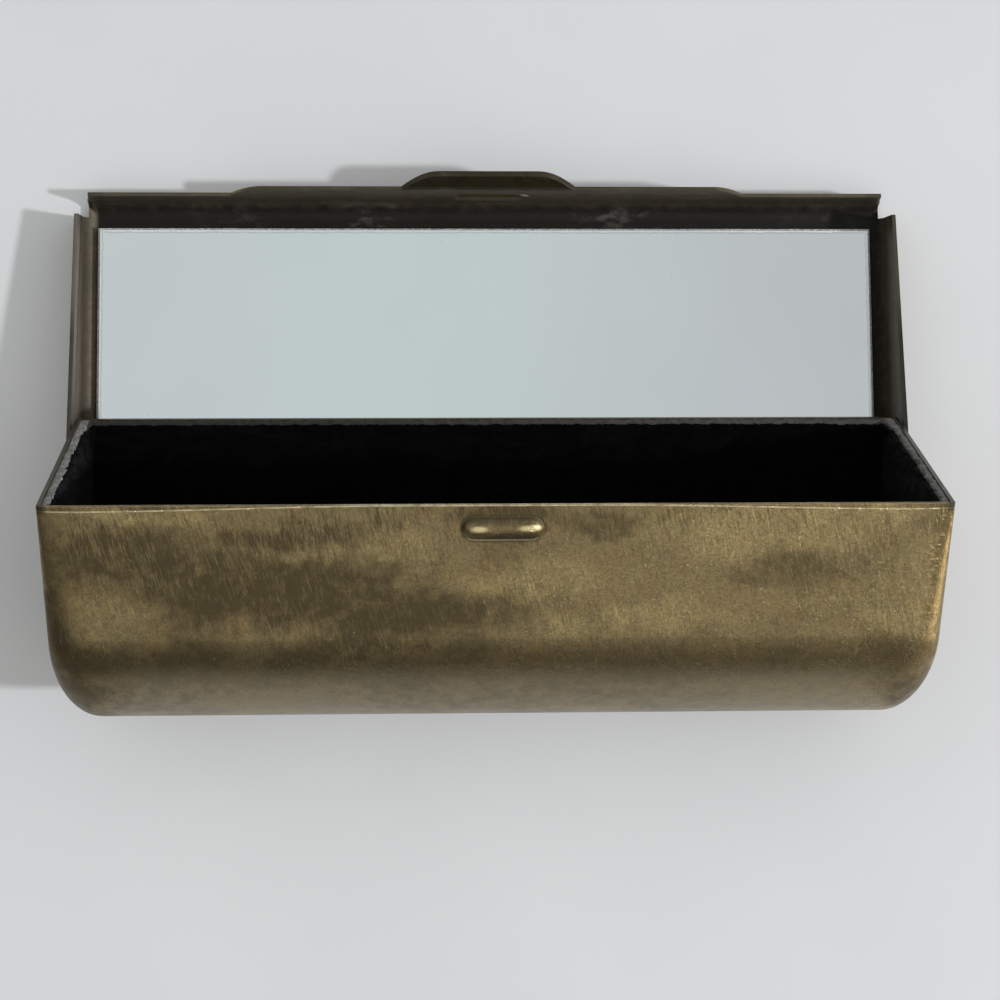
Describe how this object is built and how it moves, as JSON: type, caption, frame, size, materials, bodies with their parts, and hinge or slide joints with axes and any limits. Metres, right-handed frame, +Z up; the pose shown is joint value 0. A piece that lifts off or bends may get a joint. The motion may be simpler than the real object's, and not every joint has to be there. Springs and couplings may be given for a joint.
{
  "type": "lipstick case with mirror",
  "caption": "Slim brass lipstick case: a velvet-lined trough with a half-round bottom and a hinged tray lid that holds a mirror.",
  "frame": {"origin": "on the table, under the middle of the open case", "axes": "+X along the case, +Y from the hinge to the lid's free edge, +Z up; the lid lies open on its outer face and the base leans on its rounded back edge"},
  "size_m": [0.0874, 0.0566, 0.0303],
  "materials": {
    "base_brass": "aged satin with fine scratches",
    "lid_brass": "dark patina, lighter on the edges",
    "hinge_brass": "dull, worn bright on the knuckles",
    "pin_wire": "drawn wire, dull",
    "mirror_glass": "clear plate with a fine bevel",
    "mirror_silver": "silvered",
    "mirror_glue": "dried glue",
    "lining_backing": "soft grey felt with a rough cut edge",
    "lining_velvet": "black velvet"
  },
  "bodies": {
    "base": {"base_shell": "base_brass", "base_hinge_leaf": "hinge_brass", "hinge_pin": "pin_wire", "lining_backing_trough": "lining_backing", "lining_backing_left": "lining_backing", "lining_backing_right": "lining_backing", "lining_velvet_trough": "lining_velvet", "lining_velvet_left": "lining_velvet", "lining_velvet_right": "lining_velvet"},
    "lid": {"lid_shell": "lid_brass", "lid_hinge_leaf": "hinge_brass", "mirror_glue": "mirror_glue", "mirror_silver": "mirror_silver", "mirror_glass": "mirror_glass"}
  },
  "joints": [
    {"name": "lid_hinge", "type": "hinge", "parent": "base", "child": "lid", "pos_m": [0, -0.00033, 0.00515], "axis": [-1, 0, 0], "range_deg": [-116.3, 13.7]}
  ]
}
